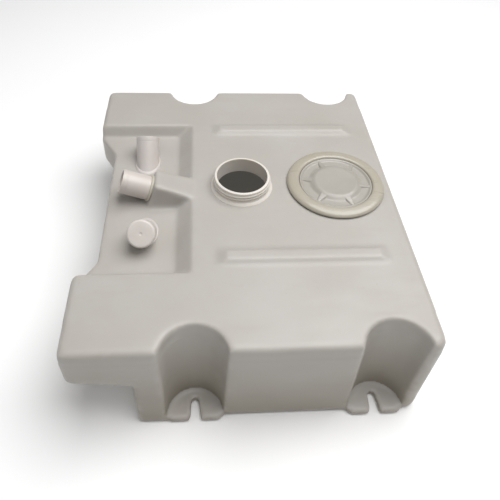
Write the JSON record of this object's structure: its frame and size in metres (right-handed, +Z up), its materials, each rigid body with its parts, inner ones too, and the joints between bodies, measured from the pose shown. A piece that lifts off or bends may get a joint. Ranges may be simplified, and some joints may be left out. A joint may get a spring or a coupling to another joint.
{
  "type": "fresh water tank",
  "caption": "Low hollow water tank with bolt-down feet in half-round pockets, an open threaded neck, a screwed inspection hatch and hose spigots.",
  "frame": {"origin": "centre of the base, on the plane the feet stand on", "axes": "+Z up, +X from the stepped spigot end to the hatch end, +Y from front to back across the tank"},
  "size_m": [0.51, 0.614, 0.2162],
  "materials": {
    "tank_plastic": "natural polyethylene, satin moulded skin",
    "spigot_plastic": "natural polyethylene, turned",
    "weld_plastic": "weld bead, slightly yellowed",
    "plug_plastic": "white moulded plastic",
    "frame_plastic": "cream moulded plastic, glossy",
    "lid_plastic": "off-white moulded plastic",
    "seal_rubber": "black rubber"
  },
  "bodies": {
    "tank": {"tank_shell": "tank_plastic", "filler_spout": "spigot_plastic", "filler_weld": "weld_plastic", "vent_spigot": "spigot_plastic", "vent_weld": "weld_plastic", "spare_spigot": "spigot_plastic", "spare_weld": "weld_plastic", "hatch_frame": "frame_plastic", "hatch_gasket": "seal_rubber", "hatch_lock_ring": "frame_plastic"},
    "lid_seal": {"lid_seal": "seal_rubber"},
    "lid": {"hatch_lid": "lid_plastic"},
    "plug": {"spare_plug": "plug_plastic"}
  },
  "joints": [
    {"name": "lid_rise", "type": "slide", "parent": "tank", "child": "lid_seal", "axis": [0, 0, 1], "range_m": [0, 0.016]},
    {"name": "lid_turn", "type": "hinge", "parent": "lid_seal", "child": "lid", "pos_m": [0.158, 0.013, 0.18], "axis": [0, 0, 1], "range_deg": [0, 720]},
    {"name": "plug_pull", "type": "slide", "parent": "tank", "child": "plug", "axis": [0, -0.7071, 0.7071], "range_m": [0, 0.03]}
  ],
  "couplings": [
    {"joint": "lid_rise", "follows": "lid_turn", "m_per_rad": 0.0012732}
  ]
}
